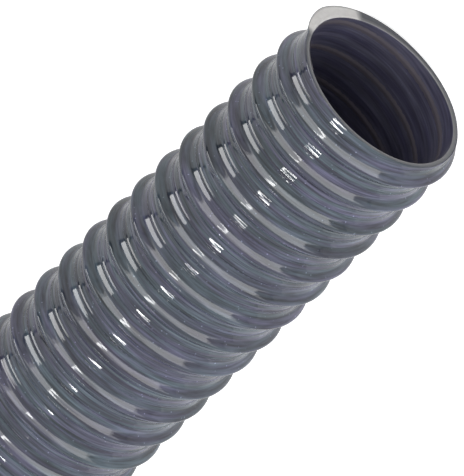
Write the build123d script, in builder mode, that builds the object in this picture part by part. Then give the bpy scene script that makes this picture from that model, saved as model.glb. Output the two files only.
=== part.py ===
"""Smooth-bore spiral-ribbed sewer hose, 3 inch bore, laid in one open loop.

The hose is made of two long pieces: a thin flexible PVC wall with a smooth bore, and one
rigid PVC rib wound round it as a right-handed spiral and welded on.  Both are divided into
stretches along the hose, so that each stretch is a simple solid.

Frame: the origin is the centre of the cut mouth, +X points out of the mouth and +Z is up.
The hose lies on a floor at z = -(wall_r + rib_height).  Units are millimetres.
"""
import math
import os

from build123d import *

# Driving sizes of the hose
bore_d = 76.2  # 3 inch nominal bore
wall_t = 2.2  # flexible wall between two turns of the rib
rib_height = 3.9  # rib above the wall
rib_width = 9.4  # foot of the rib, along the hose
rib_pitch = 17.1  # one turn of the spiral

# Where the rib stands at the mouth, measured round the bore from +Y towards +Z
rib_mouth_angle = 345  # here the crest reaches the cut
rib_tip_length = 22  # how far the tip runs on past that point, along the rib

# Route of the centre line on the floor, from the mouth to the far end
route = [
    (0, 0),
    (-560, 0),
    (-956, 396),
    (-956, 810),
    (-663, 1103),
    (-249, 1103),
    (44, 810),
    (44, 396),
]
arc_share = 0.45  # part of the shorter run that an arc takes up on each side of a point

points_per_turn = 12  # guide points on one turn of the rib

bore_r = bore_d / 2
wall_r = bore_r + wall_t
outer_r = wall_r + rib_height

os.makedirs("parts", exist_ok=True)


def route_radii(points):
    """Radius of the arc at each inner point: a share of the shorter run over tan(half turn)."""
    radii = []
    for before, here, after in zip(points, points[1:], points[2:]):
        run_in = Vector(*here) - Vector(*before)
        run_out = Vector(*after) - Vector(*here)
        half_turn = math.radians(run_in.get_angle(run_out)) / 2
        radii.append(arc_share * min(run_in.length, run_out.length) / math.tan(half_turn))
    return radii


bend_radii = route_radii(route)
with BuildLine() as centre_line:
    FilletPolyline(*route, radius=bend_radii)

hose_line = centre_line.wires()[0]
hose_length = hose_line.length
pieces = hose_line.order_edges()
mouth_run = pieces[0]
tail_run = pieces[-1]
bend_runs = [Wire(pieces[i : i + 2]) for i in range(1, len(pieces) - 2, 2)]
bend_runs.append(Wire(pieces[-2:-1]))

print("bend radii", [round(r, 1) for r in bend_radii], "outer diameters", round(min(bend_radii) / outer_r / 2, 2))
print("hose length", round(hose_length, 1))


def centre_frame(distance):
    """Centre, direction towards the mouth and sideways direction at a distance from the mouth."""
    on_line = min(max(distance, 0), hose_length)
    ahead = hose_line.tangent_at(on_line, position_mode=PositionMode.LENGTH)
    centre = hose_line.position_at(on_line, position_mode=PositionMode.LENGTH)
    centre += ahead * (distance - on_line)
    to_mouth = -ahead
    sideways = Vector(0, 0, 1).cross(to_mouth)
    return centre, to_mouth, sideways


def rib_point(distance):
    """Foot of the rib's middle: the spiral turns once for each pitch along the centre line."""
    centre, _, sideways = centre_frame(distance)
    angle = math.radians(rib_mouth_angle - 360 * distance / rib_pitch)
    return centre + (sideways * math.cos(angle) + Vector(0, 0, 1) * math.sin(angle)) * wall_r


def ring_section(plane):
    """Section of the flexible wall."""
    with BuildSketch(plane) as section:
        Circle(wall_r)
        Circle(bore_r, mode=Mode.SUBTRACT)
    return section.sketch


def rib_section(path, centre):
    """Half an ellipse that stands on the wall at the start of the rib's path."""
    foot = path @ 0
    with BuildSketch(Plane(origin=foot, x_dir=foot - centre, z_dir=path % 0)) as section:
        with BuildLine():
            Line((0, rib_width / 2), (0, -rib_width / 2))
            EllipticalCenterArc((0, 0), rib_height, rib_width / 2, start_angle=-90, arc_size=180)
        make_face()
    return section.sketch


# Flexible wall: one stretch for each straight end and one for each bend of the loop
def make_wall(name, path):
    """One stretch of the flexible wall, swept along its part of the centre line."""
    with BuildPart() as wall:
        sweep(ring_section(Plane(origin=path @ 0, z_dir=path % 0)), path=path)
    wall.part.label = name
    export_step(wall.part, f"parts/{name}.step")
    expected = math.pi * (wall_r**2 - bore_r**2) * path.length
    print(name, "length", round(path.length, 1), "volume ratio", round(wall.part.volume / expected, 5))


make_wall("wall_mouth_run", mouth_run)
for number, bend_run in enumerate(bend_runs, 1):
    make_wall(f"wall_bend_{number}", bend_run)
make_wall("wall_tail_run", tail_run)


# Rigid spiral rib: the same stretches, each a whole number of guide steps long
guide_step = rib_pitch / points_per_turn


def make_rib(name, start, end):
    """One stretch of the rib between two distances from the mouth, trimmed at the cut ends."""
    steps = round((end - start) / guide_step)
    with BuildPart() as rib:
        with BuildLine() as guide:
            Spline(*[rib_point(start + i * (end - start) / steps) for i in range(steps + 1)])
        sweep(rib_section(guide.line, centre_frame(start)[0]), path=guide.line, is_frenet=True)
        if start < 0:
            split(bisect_by=Plane(origin=hose_line @ 0, z_dir=hose_line % 0), keep=Keep.TOP)
        if end > hose_length:
            split(bisect_by=Plane(origin=hose_line @ 1, z_dir=hose_line % 1), keep=Keep.BOTTOM)
    rib.part.label = name
    export_step(rib.part, f"parts/{name}.step")
    turn_length = math.hypot(rib_pitch, 2 * math.pi * (wall_r + rib_height * 4 / 3 / math.pi))
    expected = math.pi * rib_height * rib_width / 4 * turn_length * (end - start) / rib_pitch
    print(name, "solids", len(rib.part.solids()), "volume ratio", round(rib.part.volume / expected, 4))


tip = rib_tip_length / (2 * math.pi * wall_r) * rib_pitch
stretch_ends = [-tip, mouth_run.length]
for bend_run in bend_runs:
    stretch_ends.append(stretch_ends[-1] + bend_run.length)
stretch_ends.append(hose_length + rib_width / 2)

rib_names = ["rib_mouth_run"] + [f"rib_bend_{n}" for n in range(1, len(bend_runs) + 1)] + ["rib_tail_run"]
for name, start, end in zip(rib_names, stretch_ends, stretch_ends[1:]):
    make_rib(name, start, end)
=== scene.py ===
"""Spiral-ribbed sewer hose with a smooth 3 inch bore, laid on a pale floor in one open loop.

The hose runs from its cut mouth at the origin along -X and then round the loop on the +Y side.
Everything is in metres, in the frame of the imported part.
"""
import math

import bpy
import numpy as np
from mathutils import Matrix, Vector


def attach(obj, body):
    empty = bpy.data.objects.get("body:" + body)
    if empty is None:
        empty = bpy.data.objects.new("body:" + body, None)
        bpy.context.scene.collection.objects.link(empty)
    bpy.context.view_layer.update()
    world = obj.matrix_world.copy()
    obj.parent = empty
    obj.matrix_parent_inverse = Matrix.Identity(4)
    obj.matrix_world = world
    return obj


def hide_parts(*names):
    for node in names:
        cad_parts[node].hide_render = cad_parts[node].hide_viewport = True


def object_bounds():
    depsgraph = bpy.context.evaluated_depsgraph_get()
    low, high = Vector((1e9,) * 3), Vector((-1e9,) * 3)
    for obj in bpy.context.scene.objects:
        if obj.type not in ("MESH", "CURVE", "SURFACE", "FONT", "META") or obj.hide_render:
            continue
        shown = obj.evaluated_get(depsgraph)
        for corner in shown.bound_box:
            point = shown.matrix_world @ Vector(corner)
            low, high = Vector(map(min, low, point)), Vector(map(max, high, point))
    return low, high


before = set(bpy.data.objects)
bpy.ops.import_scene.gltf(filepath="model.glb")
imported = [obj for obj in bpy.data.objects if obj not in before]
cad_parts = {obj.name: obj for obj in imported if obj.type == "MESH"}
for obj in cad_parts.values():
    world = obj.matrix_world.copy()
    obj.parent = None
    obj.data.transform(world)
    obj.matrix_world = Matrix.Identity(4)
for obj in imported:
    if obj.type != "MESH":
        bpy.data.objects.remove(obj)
cad_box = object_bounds()

# ---------------------------------------------------------------------------------------
# Camera.  It looks down into the mouth along a line 57 degrees off the hose, through a long
# lens, and is rolled so that the hose leaves the picture at the lower left corner.
# ---------------------------------------------------------------------------------------
VIEW_TO_HOSE = math.radians(57.0)
VIEW_ROUND_HOSE = math.radians(90.0)
HOSE_SLOPE = math.radians(44.1)
FRAME_HEIGHT = 0.2008
MOUTH_RIGHT, MOUTH_UP = 0.0632, 0.0624
LENS, SENSOR = 1600.0, 36.0
CLIP_START = 0.1

mouth_out = Vector((1, 0, 0))
to_camera = Vector((
    math.cos(VIEW_TO_HOSE),
    math.sin(VIEW_TO_HOSE) * math.cos(VIEW_ROUND_HOSE),
    math.sin(VIEW_TO_HOSE) * math.sin(VIEW_ROUND_HOSE),
))
along_hose = (mouth_out - mouth_out.dot(to_camera) * to_camera).normalized()
across_hose = to_camera.cross(along_hose)
image_right = math.cos(HOSE_SLOPE) * along_hose - math.sin(HOSE_SLOPE) * across_hose
image_up = math.sin(HOSE_SLOPE) * along_hose + math.cos(HOSE_SLOPE) * across_hose

camera_data = bpy.data.cameras.new("camera")
camera_data.lens = LENS
camera_data.sensor_width = SENSOR
camera_distance = LENS / SENSOR * FRAME_HEIGHT
camera_data.clip_start = CLIP_START
camera_data.clip_end = 4 * camera_distance
camera = bpy.data.objects.new("camera", camera_data)
aim = -MOUTH_RIGHT * image_right - MOUTH_UP * image_up
turn = Matrix((image_right, image_up, to_camera)).transposed().to_4x4()
camera.matrix_world = Matrix.Translation(aim + camera_distance * to_camera) @ turn
bpy.context.scene.collection.objects.link(camera)
bpy.context.scene.camera = camera

# ---------------------------------------------------------------------------------------
# Flexible wall.  A thin strip of soft slate-grey PVC, wound and welded into one smooth tube
# and cut with a knife at both ends.
# ---------------------------------------------------------------------------------------
BORE_RADIUS = 0.0381
WALL = 0.0022
WALL_RADIUS = BORE_RADIUS + WALL
RIB_HEIGHT = 0.0039
RIB_PITCH = 0.0171
RIB_MOUTH_ANGLE = math.radians(345)
UP = np.array((0.0, 0.0, 1.0))

# Control points of the centre line on the floor, from the mouth to the far end
ROUTE_STEPS = 64
ROUTE = [
    (0.0, 0.0),
    (-0.300, 0.0),
    (-0.560, 0.0),
    (-0.956, 0.396),
    (-0.956, 0.810),
    (-0.663, 1.103),
    (-0.249, 1.103),
    (0.044, 0.810),
    (0.044, 0.396),
]


def route_points(route, steps):
    """Points of the route's NURBS spline, with the route's points as its control points."""
    data = bpy.data.curves.new("route", "CURVE")
    data.dimensions = "3D"
    spline = data.splines.new("NURBS")
    spline.points.add(len(route) - 1)
    for point, (x, y) in zip(spline.points, route):
        point.co = (x, y, 0.0, 1.0)
    spline.order_u = 3
    spline.use_endpoint_u = True
    data.resolution_u = steps
    line = bpy.data.objects.new("route", data)
    mesh = bpy.data.meshes.new_from_object(line)
    points = np.empty(len(mesh.vertices) * 3)
    mesh.vertices.foreach_get("co", points)
    bpy.data.objects.remove(line)
    bpy.data.curves.remove(data)
    bpy.data.meshes.remove(mesh)
    return points.reshape(-1, 3)


centre_line = route_points(ROUTE, ROUTE_STEPS)
step_lengths = np.linalg.norm(np.diff(centre_line, axis=0), axis=1)
line_distance = np.concatenate(([0.0], np.cumsum(step_lengths)))
HOSE_LENGTH = line_distance[-1]
line_ahead = np.gradient(centre_line, line_distance, axis=0)


def hose_point(distance, radius, angle):
    """Place at a distance from the mouth, a radius and an angle round the hose.

    centre(distance) + radius * (cos(angle) * sideways + sin(angle) * up), where sideways is up
    crossed with the direction towards the mouth, so at the mouth it is +Y.
    """
    on_line = np.clip(distance, 0.0, HOSE_LENGTH)
    centre = np.stack([np.interp(on_line, line_distance, c) for c in centre_line.T], axis=-1)
    ahead = np.stack([np.interp(on_line, line_distance, c) for c in line_ahead.T], axis=-1)
    ahead /= np.linalg.norm(ahead, axis=-1, keepdims=True)
    centre += ahead * (distance - on_line)[..., None]
    sideways = np.cross(UP, -ahead)
    outward = np.cos(angle)[..., None] * sideways + np.sin(angle)[..., None] * UP
    return centre + radius[..., None] * outward


def grid_mesh(name, points, uv, close_rows, close_columns):
    """Quads between neighbours of a grid of points, joined round where a direction is closed.

    uv holds one more row or column than points where that direction is closed.
    """
    rows, columns = points.shape[:2]
    row = np.arange(rows if close_rows else rows - 1)[:, None]
    column = np.arange(columns if close_columns else columns - 1)[None, :]
    next_row, next_column = (row + 1) % rows, (column + 1) % columns
    corners = [(row, column), (row, next_column), (next_row, next_column), (next_row, column)]
    quads = np.stack([r * columns + c for r, c in corners], axis=-1).reshape(-1, 4)
    mesh = bpy.data.meshes.new(name)
    mesh.from_pydata(points.reshape(-1, 3).tolist(), [], quads.tolist())
    uv_corners = [uv[row, column], uv[row, column + 1], uv[row + 1, column + 1], uv[row + 1, column]]
    layer = mesh.uv_layers.new(name="along_across")
    layer.data.foreach_set("uv", np.stack(uv_corners, axis=-2).reshape(-1))
    mesh.shade_smooth()
    return mesh


def place(name, mesh, *materials):
    """New object at the origin that rides on the part's one body."""
    for material in materials:
        mesh.materials.append(material)
    piece = bpy.data.objects.new(name, mesh)
    bpy.context.scene.collection.objects.link(piece)
    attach(piece, "root")
    return piece


def node_material(name):
    """Empty node material and its Principled shader."""
    material = bpy.data.materials.new(name)
    material.use_nodes = True
    return material, material.node_tree.nodes["Principled BSDF"]


def stretched_noise(material, scale, detail):
    """Noise on the piece's own map, stretched along it: scale is cells per metre along and across."""
    nodes, links = material.node_tree.nodes, material.node_tree.links
    here = nodes.new("ShaderNodeUVMap")
    here.uv_map = "along_across"
    stretch = nodes.new("ShaderNodeMapping")
    stretch.inputs["Scale"].default_value = (*scale, 1.0)
    links.new(here.outputs["UV"], stretch.inputs["Vector"])
    noise = nodes.new("ShaderNodeTexNoise")
    noise.inputs["Scale"].default_value = 1.0
    noise.inputs["Detail"].default_value = detail
    links.new(stretch.outputs["Vector"], noise.inputs["Vector"])
    return noise.outputs["Fac"]


def blend_colours(material, share, low, high):
    """Colour between two colours by a share from 0 to 1."""
    nodes, links = material.node_tree.nodes, material.node_tree.links
    shade = nodes.new("ShaderNodeMix")
    shade.data_type = "RGBA"
    shade.inputs["A"].default_value = (*low, 1.0)
    shade.inputs["B"].default_value = (*high, 1.0)
    links.new(share, shade.inputs["Factor"])
    return shade.outputs["Result"]


def sharpen(material, share, low, high):
    """Share spread from 0 at low to 1 at high, and held there."""
    nodes, links = material.node_tree.nodes, material.node_tree.links
    spread = nodes.new("ShaderNodeMapRange")
    spread.inputs["From Min"].default_value = low
    spread.inputs["From Max"].default_value = high
    links.new(share, spread.inputs["Value"])
    return spread.outputs["Result"]


def shade_by(material, colour, share, low, high):
    """Colour times a number that goes from low to high as the share goes from 0 to 1."""
    nodes, links = material.node_tree.nodes, material.node_tree.links
    spread = nodes.new("ShaderNodeMapRange")
    spread.inputs["To Min"].default_value = low
    spread.inputs["To Max"].default_value = high
    links.new(share, spread.inputs["Value"])
    shaded = nodes.new("ShaderNodeVectorMath")
    shaded.operation = "SCALE"
    links.new(colour, shaded.inputs[0])
    links.new(spread.outputs["Result"], shaded.inputs["Scale"])
    return shaded.outputs["Vector"]


def bump_by(material, height, depth, under=None):
    """Bump of a depth in metres, on top of another bump where one is given."""
    nodes, links = material.node_tree.nodes, material.node_tree.links
    bump = nodes.new("ShaderNodeBump")
    bump.inputs["Strength"].default_value = 1.0
    bump.inputs["Distance"].default_value = depth
    links.new(height, bump.inputs["Height"])
    if under:
        links.new(under, bump.inputs["Normal"])
    return bump.outputs["Normal"]


RIPPLES = 8
RIPPLE_DEPTH = 0.000009


def ripples(material):
    """Sine waves across the piece's own map, a whole number to one turn of the spiral."""
    nodes, links = material.node_tree.nodes, material.node_tree.links
    here = nodes.new("ShaderNodeUVMap")
    here.uv_map = "along_across"
    parts = nodes.new("ShaderNodeSeparateXYZ")
    links.new(here.outputs["UV"], parts.inputs["Vector"])
    turns = nodes.new("ShaderNodeMath")
    turns.operation = "MULTIPLY"
    turns.inputs[1].default_value = 2 * math.pi * RIPPLES / RIB_PITCH
    links.new(parts.outputs["Y"], turns.inputs[0])
    wave = nodes.new("ShaderNodeMath")
    wave.operation = "SINE"
    links.new(turns.outputs["Value"], wave.inputs[0])
    return wave.outputs["Value"]


# Dust: cells per metre, and the edge and core of a grain as shares of a cell
DUST_CELLS = 300.0
GRAIN_EDGE, GRAIN_CORE = 0.12, 0.07


def dust(material):
    """1 on small pale grains about half a millimetre across."""
    nodes, links = material.node_tree.nodes, material.node_tree.links
    here = nodes.new("ShaderNodeTexCoord")
    grains = nodes.new("ShaderNodeTexVoronoi")
    grains.inputs["Scale"].default_value = DUST_CELLS
    links.new(here.outputs["Object"], grains.inputs["Vector"])
    return sharpen(material, grains.outputs["Distance"], GRAIN_EDGE, GRAIN_CORE)


# Patterns of the drawn skin, in cells per metre along and across the hose or rib
COLOUR_FLOW = (18.0, 300.0)
BROAD_BANDS = (22.0, 340.0)
FINE_LINES = (60.0, 1000.0)
SWELLS = (45.0, 130.0)
DRAW_MARKS = (7.0, 800.0)
BAND_LEVEL = 1.06
PVC_IOR = 1.5
HAZE, HAZE_ROUGHNESS = 0.1, 0.25


def pvc(name, low, high, roughness, line_depth, contrast, dust_gain):
    """Slate PVC: two shades that flow along the hose or rib, lighter and darker draw lines, dust."""
    material, shader = node_material(name)
    links = material.node_tree.links
    shader.inputs["Roughness"].default_value = roughness
    shader.inputs["IOR"].default_value = PVC_IOR
    shader.inputs["Sheen Weight"].default_value = HAZE
    shader.inputs["Sheen Roughness"].default_value = HAZE_ROUGHNESS
    flow = sharpen(material, stretched_noise(material, COLOUR_FLOW, 4.0), 0.4, 0.6)
    shade = blend_colours(material, flow, low, high)
    bands = sharpen(material, stretched_noise(material, BROAD_BANDS, 2.0), 0.35, 0.65)
    banded = shade_by(material, shade, bands, BAND_LEVEL - contrast, BAND_LEVEL + contrast)
    lines = sharpen(material, stretched_noise(material, FINE_LINES, 2.0), 0.35, 0.65)
    streaked = shade_by(material, banded, lines, 1.0 - contrast, 1.0 + contrast)
    dusty = shade_by(material, streaked, dust(material), 1.0, dust_gain)
    links.new(dusty, shader.inputs["Base Color"])
    swollen = bump_by(material, stretched_noise(material, SWELLS, 1.0), line_depth / 2)
    drawn = bump_by(material, stretched_noise(material, DRAW_MARKS, 1.0), line_depth / 2, swollen)
    rippled = bump_by(material, ripples(material), RIPPLE_DEPTH, drawn)
    links.new(rippled, shader.inputs["Normal"])
    return material


CUT_ROUGHNESS = 0.42
KNIFE_MARKS = 420.0
KNIFE_DEPTH, KNIFE_STRENGTH = 0.0002, 0.3
KNIFE_DARKENING = 0.2


def cut_face(name, colour, pale):
    """Knife-cut PVC, dull, with faint knife marks, paler where the mesh's own paleness says so."""
    material, shader = node_material(name)
    nodes, links = material.node_tree.nodes, material.node_tree.links
    shader.inputs["Roughness"].default_value = CUT_ROUGHNESS
    paleness = nodes.new("ShaderNodeAttribute")
    paleness.attribute_name = "paleness"
    plain = blend_colours(material, paleness.outputs["Fac"], colour, pale)
    here = nodes.new("ShaderNodeTexCoord")
    marks = nodes.new("ShaderNodeTexNoise")
    marks.inputs["Scale"].default_value = KNIFE_MARKS
    marks.inputs["Detail"].default_value = 3.0
    links.new(here.outputs["Object"], marks.inputs["Vector"])
    worn = nodes.new("ShaderNodeMix")
    worn.data_type = "RGBA"
    worn.blend_type = "MULTIPLY"
    worn.inputs["Factor"].default_value = KNIFE_DARKENING
    links.new(plain, worn.inputs["A"])
    links.new(marks.outputs["Fac"], worn.inputs["B"])
    links.new(worn.outputs["Result"], shader.inputs["Base Color"])
    bump = nodes.new("ShaderNodeBump")
    bump.inputs["Strength"].default_value = KNIFE_STRENGTH
    bump.inputs["Distance"].default_value = KNIFE_DEPTH
    links.new(marks.outputs["Fac"], bump.inputs["Height"])
    links.new(bump.outputs["Normal"], shader.inputs["Normal"])
    return material


def set_paleness(mesh, values):
    """One number a vertex, from 0 for the grey of the skin to 1 for the pale stuff inside."""
    layer = mesh.attributes.new("paleness", "FLOAT", "POINT")
    layer.data.foreach_set("value", np.asarray(values, dtype=np.float32).reshape(-1))


GREEN_SLATE = (0.058, 0.079, 0.098)
PLUM_SLATE = (0.066, 0.066, 0.108)
# Painted light: the bore is the inside of the same slate PVC strip, and its lining colours are painted
# lighter than the skin's to set how bright the bore looks.
BORE_PAINTED_LIGHT_LOW = (0.072, 0.070, 0.120)
BORE_PAINTED_LIGHT_HIGH = (0.125, 0.123, 0.178)
CUT_GREY = (0.080, 0.085, 0.100)
CUT_PALE = (0.88, 0.86, 0.84)
slate_wall = pvc(
    "slate_wall", PLUM_SLATE, GREEN_SLATE, roughness=0.055, line_depth=0.00007, contrast=0.42, dust_gain=2.8
)
# The bore's own PVC with painted light: lighter colours than the skin's.
bore_painted_light = pvc(
    "bore_lining_painted_light", BORE_PAINTED_LIGHT_LOW, BORE_PAINTED_LIGHT_HIGH, roughness=0.34, line_depth=0.00004, contrast=0.2, dust_gain=1.2
)
cut_slate = cut_face("cut_slate", CUT_GREY, CUT_PALE)

SKIN_SLOT, CUT_SLOT, BORE_PAINTED_LIGHT_SLOT = 0, 1, 2
WALL_RINGS = 360
WALL_SIDES = 96
CUT_ROUNDING = 0.0003
PALE_FROM, PALE_TO = math.radians(-46), math.radians(13)
PALE_FADE = math.radians(5)
EDGE_PALENESS = 0.35


def pale_share(angle):
    """1 between the two ends of the pale patch at the mouth, falling to 0 over a few degrees."""
    turned = (angle - PALE_FROM + math.pi) % (2 * math.pi) - math.pi
    rise = np.clip(turned / PALE_FADE, 0.0, 1.0)
    fall = np.clip((PALE_TO - PALE_FROM - turned) / PALE_FADE, 0.0, 1.0)
    return rise * fall


# The wall's section along the hose, as one closed loop: down the bore, round the rim at the tail,
# back along the outside and round the rim at the mouth.  A rim's rings go from the bore outwards.
ring_distance = np.linspace(0.0, HOSE_LENGTH, WALL_RINGS)[1:-1]
rim_depth = np.array((3, 1, 0, 0, 1, 3)) * CUT_ROUNDING
loop_distance = np.concatenate((ring_distance, HOSE_LENGTH - rim_depth, ring_distance[::-1], rim_depth))
rim_radius = np.array((0, 0, CUT_ROUNDING, WALL - CUT_ROUNDING, WALL, WALL)) + BORE_RADIUS
inner = np.full(len(ring_distance), BORE_RADIUS)
outer = np.full(len(ring_distance), WALL_RADIUS)
loop_radius = np.concatenate((inner, rim_radius, outer, rim_radius[::-1]))

wall_angle = np.linspace(0.0, 2 * math.pi, WALL_SIDES + 1)
wall_places = np.broadcast_arrays(loop_distance[:, None], loop_radius[:, None], wall_angle[None, :-1])
wall_grid = hose_point(*wall_places)
closed_distance = np.append(loop_distance, loop_distance[0])
rib_distance = (RIB_MOUTH_ANGLE - wall_angle[None, :]) / (2 * math.pi) * RIB_PITCH
past_rib = rib_distance - closed_distance[:, None]
wall_uv = np.stack(np.broadcast_arrays(wall_angle[None, :] * WALL_RADIUS, past_rib), axis=-1)
wall_mesh = grid_mesh("hose_wall", wall_grid, wall_uv, True, True)
hose_wall = place("hose_wall", wall_mesh, slate_wall, cut_slate, bore_painted_light)

# Rows of the cut faces in that loop; the mouth's rounded inner edge counts as cut too
tail_face = len(ring_distance) + 2
mouth_face = len(loop_distance) - 4
# The rows down the bore take the lining material with painted light.
material_index = np.full((len(loop_distance), WALL_SIDES), SKIN_SLOT, dtype=np.int32)
material_index[: tail_face - 1] = BORE_PAINTED_LIGHT_SLOT
material_index[mouth_face + 2 :] = BORE_PAINTED_LIGHT_SLOT
material_index[[tail_face, mouth_face, mouth_face + 1]] = CUT_SLOT
wall_mesh.polygons.foreach_set("material_index", material_index.reshape(-1))
paleness = np.zeros((len(loop_distance), WALL_SIDES))
paleness[mouth_face : mouth_face + 2] = pale_share(wall_angle[:-1])
paleness[mouth_face + 2] = np.maximum(EDGE_PALENESS, paleness[mouth_face + 1])
paleness[mouth_face + 1] = np.maximum(EDGE_PALENESS / 2, paleness[mouth_face + 1])
set_paleness(wall_mesh, paleness)

# ---------------------------------------------------------------------------------------
# Spiral rib.  One bead of rigid PVC, wound right-handed round the wall and welded to it: its
# back is round and its feet run out hollow on the wall, with a fine weld line on the mouth's
# side.  The knife that cut the mouth has laid open its pale inside.
# ---------------------------------------------------------------------------------------
RIB_REACH = 0.0062
FLANK_SLOPE, FOOT_SLOPE = 1.50, 0.23
CREST_ROUNDING, FOOT_ROUNDING = 0.0013, 0.0007
RIB_TIP_ANGLE = math.radians(27)
RIB_SUNK = 0.00008
WELD_HEIGHT, WELD_HALF_WIDTH = 0.00020, 0.0009
WELD_PLACE = 0.0072
FOOT_END = 0.0046

slate_rib = pvc(
    "slate_rib", PLUM_SLATE, GREEN_SLATE, roughness=0.05, line_depth=0.00010, contrast=0.42, dust_gain=2.8
)


def flank_fall(along):
    """Fall of a flank below its crest: slope * (sqrt(along**2 + rounding**2) - rounding)."""
    return FLANK_SLOPE * (np.sqrt(along**2 + CREST_ROUNDING**2) - CREST_ROUNDING)


lift_at_reach = (flank_fall(RIB_REACH) - RIB_HEIGHT) / (FLANK_SLOPE - FOOT_SLOPE)
FOOT_START = RIB_REACH - lift_at_reach + FOOT_ROUNDING**2 / (4 * lift_at_reach)


def rib_height(along):
    """Height above the wall: a round crest, steep flanks, gently sloping feet, and the weld.

    The feet lift the flanks by the difference of the slopes times a rounded ramp,
    (u + sqrt(u**2 + rounding**2)) / 2, where u is the distance past the start of the foot.
    The weld is a hump, weld height / 2 * (1 + cos(pi * u / half width)).
    """
    past_start = np.abs(along) - FOOT_START
    ramp = (past_start + np.sqrt(past_start**2 + FOOT_ROUNDING**2)) / 2
    body = np.maximum(RIB_HEIGHT - flank_fall(along) + (FLANK_SLOPE - FOOT_SLOPE) * ramp, 0.0)
    body = np.where(np.abs(along) < RIB_REACH, body, 0.0)
    past_weld = np.clip((along - WELD_PLACE) / WELD_HALF_WIDTH, -1.0, 1.0)
    return body + WELD_HEIGHT / 2 * (1 + np.cos(math.pi * past_weld))


def rib_profile(back, foot, weld):
    """Places along the hose and heights of the rib's section, with its two edges in the wall."""
    weld_start, weld_end = WELD_PLACE - WELD_HALF_WIDTH, WELD_PLACE + WELD_HALF_WIDTH
    along = np.concatenate((
        np.linspace(-RIB_REACH, -FOOT_END, foot)[:-1],
        np.linspace(-FOOT_END, FOOT_END, back),
        np.linspace(FOOT_END, RIB_REACH, foot)[1:],
        np.linspace(weld_start, weld_end, weld),
    ))
    height = np.concatenate(([-RIB_SUNK], rib_height(along), [-RIB_SUNK]))
    return np.concatenate(([-RIB_REACH - RIB_SUNK], along, [weld_end + RIB_SUNK])), height


mouth_reach = RIB_TIP_ANGLE / (2 * math.pi) * RIB_PITCH
tail_reach = RIB_REACH


def tip_share(middle):
    """Share of the rib's height left near its tip at the mouth: the square root of the way along it."""
    return np.sqrt(np.clip((middle + mouth_reach) / mouth_reach, 0.0, 1.0))


def rib_angle(middle):
    """Angle round the hose at which the rib's middle is at a distance from the mouth."""
    return RIB_MOUTH_ANGLE - 2 * math.pi * middle / RIB_PITCH


def rib_mesh(name, start, end, steps_per_turn, *across):
    """The rib's section carried along the spiral, and cut flat at the planes of the two ends.

    A point past an end goes back to its plane, and no higher than the section there.
    """
    along, height = rib_profile(*across)
    steps = math.ceil((end - start) / RIB_PITCH * steps_per_turn)
    middle = np.linspace(start, end, steps + 1)[:, None]
    distance = middle - along
    level = np.where(height > 0, height * tip_share(middle), height)
    for plane, past in ((0.0, distance < 0.0), (HOSE_LENGTH, distance > HOSE_LENGTH)):
        level = np.where(past, np.minimum(level, rib_height(middle - plane) * tip_share(middle)), level)
        distance = np.where(past, plane, distance)
    grid = hose_point(distance, WALL_RADIUS + level, np.broadcast_to(rib_angle(middle), distance.shape))
    turn_length = math.hypot(2 * math.pi * WALL_RADIUS, RIB_PITCH)
    closed = np.append(along, 2 * along[-1] - along[0])
    uv = np.stack(np.broadcast_arrays(middle / RIB_PITCH * turn_length, closed), axis=-1)
    return grid_mesh(name, grid, uv, False, True)


# Steps on one turn of the spiral, and points across the rib's back, each foot and the weld
FINE_STEPS = (96, 25, 4, 9)
PLAIN_STEPS = (60, 15, 3, 5)

# The rib is divided at these distances from the mouth; each stretch replaces the named solids
rib_ends = (-mouth_reach, 0.31, 0.98, 1.66, 2.34, HOSE_LENGTH + tail_reach)
rib_stretches = (
    ("spiral_rib_mouth", "rib_mouth_run"),
    ("spiral_rib_bend_1", "rib_bend_1"),
    ("spiral_rib_bends_2_3", "rib_bend_2", "rib_bend_3"),
    ("spiral_rib_bends_4_5", "rib_bend_4", "rib_bend_5"),
    ("spiral_rib_tail", "rib_bend_6", "rib_tail_run"),
)
for (name, *solids), start, end in zip(rib_stretches, rib_ends, rib_ends[1:]):
    steps = FINE_STEPS if start < 0 else PLAIN_STEPS
    rib = place(name, rib_mesh(name, start, end, *steps), slate_rib)
    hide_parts(*solids)

# The faces that the knife left across the rib at the two ends of the hose
CUT_STEPS, CUT_ROWS = 90, 5
CUT_SKIN = 0.00035
CUT_PROUD = 0.00002
CUT_OVERLAP = 0.0005
SKIN_PALENESS = 0.6


def rib_cut(name, plane, start, end, pale):
    """Flat face of the cut rib, round the hose: from the wall's cut out to the rib's height there."""
    middle = np.linspace(start, end, CUT_STEPS)[:, None]
    height = rib_height(middle - plane) * tip_share(middle)
    share = np.linspace(0.0, 1.0, CUT_ROWS)
    inner_edge = np.full_like(height, -CUT_OVERLAP)
    level = np.concatenate((inner_edge, share * np.maximum(height - CUT_SKIN, 0.0), height), axis=1)
    out = CUT_PROUD if plane > 0 else -CUT_PROUD
    angle = np.broadcast_to(rib_angle(middle), level.shape)
    grid = hose_point(np.full(level.shape, plane + out), WALL_RADIUS + level, angle)
    uv = np.stack(np.broadcast_arrays(middle, level), axis=-1)
    mesh = grid_mesh(name, grid[:, ::-1] if plane > 0 else grid, uv, False, False)
    inside = np.concatenate((np.ones(CUT_ROWS), [SKIN_PALENESS, 0.0]))
    set_paleness(mesh, pale * pale_share(angle) * inside)
    return mesh


cuts = (
    ("rib_cut_mouth", 0.0, -mouth_reach, RIB_REACH, 1.0),
    ("rib_cut_tail", HOSE_LENGTH, HOSE_LENGTH - RIB_REACH, HOSE_LENGTH + RIB_REACH, 0.0),
)
for name, plane, start, end, pale in cuts:
    face = place(name, rib_cut(name, plane, start, end, pale), cut_slate)

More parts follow.
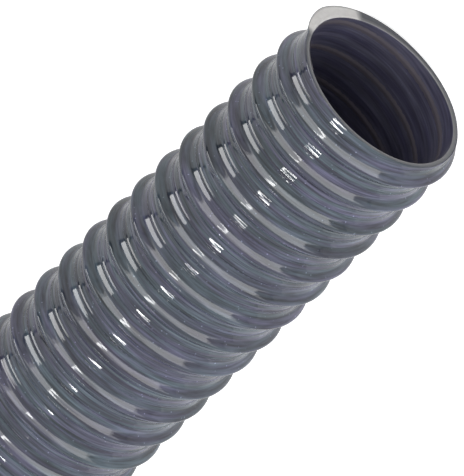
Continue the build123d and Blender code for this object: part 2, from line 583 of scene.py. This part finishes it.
# ---------------------------------------------------------------------------------------
# Weld seam in the bore.  Where the edges of the wound strip meet, a fine brownish ridge runs
# round the smooth bore, one turn for each turn of the rib.
# ---------------------------------------------------------------------------------------
SEAM_HEIGHT, SEAM_HALF_WIDTH = 0.00030, 0.0016
SEAM_COLUMNS, SEAM_STEPS_PER_TURN = 7, 60
SEAM_BEHIND_RIB = 0.0029
SEAM_AT_MOUTH, SEAM_AT_TAIL = 0.45, 0.35
SEAM_MOTTLE = (60.0, 300.0)
SEAM_DARK, SEAM_LIGHT = (0.115, 0.105, 0.135), (0.18, 0.16, 0.18)

seam_brown, seam_shader = node_material("seam_brown")
seam_shader.inputs["Roughness"].default_value = 0.4
seam_shade = blend_colours(seam_brown, stretched_noise(seam_brown, SEAM_MOTTLE, 2.0), SEAM_DARK, SEAM_LIGHT)
seam_brown.node_tree.links.new(seam_shade, seam_shader.inputs["Base Color"])


def seam_mesh(name, start, end):
    """Ridge along the spiral, seam height / 2 * (1 + cos(pi * across / half width)) high."""
    across = np.linspace(-SEAM_HALF_WIDTH, SEAM_HALF_WIDTH, SEAM_COLUMNS)
    ridge = SEAM_HEIGHT / 2 * (1 + np.cos(math.pi * across / SEAM_HALF_WIDTH)) - RIB_SUNK / 2
    steps = math.ceil((end - start) / RIB_PITCH * SEAM_STEPS_PER_TURN)
    middle = np.linspace(start, end, steps + 1)[:, None]
    distance = np.clip(middle + across, 0.0, HOSE_LENGTH)
    angle = np.broadcast_to(rib_angle(middle - SEAM_BEHIND_RIB), distance.shape)
    grid = hose_point(distance, BORE_RADIUS - np.broadcast_to(ridge, distance.shape), angle)
    turn_length = math.hypot(2 * math.pi * BORE_RADIUS, RIB_PITCH)
    uv = np.stack(np.broadcast_arrays(middle / RIB_PITCH * turn_length, across), axis=-1)
    return grid_mesh(name, grid, uv, False, False)


seams = (
    ("bore_seam_mouth", 0.0, SEAM_AT_MOUTH),
    ("bore_seam_tail", HOSE_LENGTH - SEAM_AT_TAIL, HOSE_LENGTH),
)
for name, start, end in seams:
    seam = place(name, seam_mesh(name, start, end), seam_brown)

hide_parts("wall_mouth_run", *[f"wall_bend_{n}" for n in range(1, 7)], "wall_tail_run")

# ---------------------------------------------------------------------------------------
# Floor, lamps and surroundings.  The floor is bright where the camera sees it and dim in
# reflections, and it keeps the hose's shadow.
# ---------------------------------------------------------------------------------------
FLOOR_SIZE = 12.0
FLOOR_SEEN, FLOOR_REFLECTED = 0.78, 0.25
FLOOR_PAINT, FLOOR_ROUGHNESS = 0.9, 0.9
SURROUNDINGS_LIGHT, SURROUNDINGS_SEEN = 0.30, 1.0


def larger(tree, first, second):
    """Larger of two numbers."""
    node = tree.nodes.new("ShaderNodeMath")
    node.operation = "MAXIMUM"
    tree.links.new(first, node.inputs[0])
    tree.links.new(second, node.inputs[1])
    return node.outputs["Value"]


half = FLOOR_SIZE / 2
floor_level = cad_box[0][2]
floor_corners = [(x, y, floor_level) for x, y in ((-half, -half), (half, -half), (half, half), (-half, half))]
floor_mesh = bpy.data.meshes.new("floor")
floor_mesh.from_pydata(floor_corners, [], [(0, 1, 2, 3)])
floor = bpy.data.objects.new("floor", floor_mesh)
bpy.context.scene.collection.objects.link(floor)
floor_paint, floor_shader = node_material("floor_paint")
floor_mesh.materials.append(floor_paint)
floor_shader.inputs["Base Color"].default_value = (FLOOR_PAINT, FLOOR_PAINT, FLOOR_PAINT, 1.0)
floor_shader.inputs["Roughness"].default_value = FLOOR_ROUGHNESS
floor_shader.inputs["Specular IOR Level"].default_value = 0.0
floor_shader.inputs["Emission Color"].default_value = (1.0, 1.0, 1.0, 1.0)
tree = floor_paint.node_tree
ray = tree.nodes.new("ShaderNodeLightPath")
reflected = larger(tree, ray.outputs["Is Glossy Ray"], ray.outputs["Is Transmission Ray"])
dimmed = tree.nodes.new("ShaderNodeMath")
dimmed.operation = "MULTIPLY"
dimmed.inputs[1].default_value = FLOOR_REFLECTED
tree.links.new(reflected, dimmed.inputs[0])
glow = tree.nodes.new("ShaderNodeMath")
glow.operation = "MULTIPLY_ADD"
glow.inputs[1].default_value = FLOOR_SEEN
tree.links.new(ray.outputs["Is Camera Ray"], glow.inputs[0])
tree.links.new(dimmed.outputs["Value"], glow.inputs[2])
tree.links.new(glow.outputs["Value"], floor_shader.inputs["Emission Strength"])

world = bpy.data.worlds.new("studio")
bpy.context.scene.world = world
world.use_nodes = True
tree = world.node_tree
background = tree.nodes["Background"]
background.inputs["Color"].default_value = (1.0, 1.0, 1.0, 1.0)
ray = tree.nodes.new("ShaderNodeLightPath")
shown = larger(tree, ray.outputs["Is Camera Ray"], ray.outputs["Is Glossy Ray"])
shown = larger(tree, shown, ray.outputs["Is Transmission Ray"])
strength = tree.nodes.new("ShaderNodeMix")
strength.data_type = "FLOAT"
strength.inputs["A"].default_value = SURROUNDINGS_LIGHT
strength.inputs["B"].default_value = SURROUNDINGS_SEEN
tree.links.new(shown, strength.inputs["Factor"])
tree.links.new(strength.outputs["Result"], background.inputs["Strength"])


def panel(name, direction, distance, wide, high, power, shape):
    """Flat lamp that faces the middle of the picture from the given direction."""
    data = bpy.data.lights.new(name, "AREA")
    data.shape = shape
    data.size, data.size_y = wide, high
    data.energy = power
    lamp = bpy.data.objects.new(name, data)
    bpy.context.scene.collection.objects.link(lamp)
    toward = Vector(direction).normalized()
    turn = toward.to_track_quat("Z", "Y").to_matrix().to_4x4()
    lamp.matrix_world = Matrix.Translation(toward * distance + aim) @ turn
    return lamp


# Two lamps light the hose and don't show in it, and the others only show as reflections
fill_lamps = (
    panel("overhead", (0.15, 0.40, 1.0), 1.9, 1.6, 1.6, 18.0, "RECTANGLE"),
    panel("far_side", (-0.1, -0.88, 0.48), 1.8, 2.2, 0.9, 27.0, "RECTANGLE"),
)
for lamp in fill_lamps:
    lamp.visible_glossy = False
glint_lamps = (
    panel("side_strip", (-0.16, 0.96, 0.08), 1.7, 0.55, 2.6, 24.0, "ELLIPSE"),
    panel("front_soft", (0.96, -0.02, 0.32), 1.7, 3.0, 0.80, 12.0, "ELLIPSE"),
    panel("front_long", (0.95, -0.05, 0.32), 1.8, 5.6, 0.60, 16.0, "ELLIPSE"),
    panel("near_spark", (0.88, 0.24, 0.42), 1.9, 0.30, 0.07, 1.2, "RECTANGLE"),
    panel("spark", (-0.545, 0.08, 0.83), 1.9, 0.60, 0.07, 5.0, "RECTANGLE"),
)
for lamp in glint_lamps:
    lamp.visible_diffuse = False

bpy.context.scene.view_settings.view_transform = "Standard"
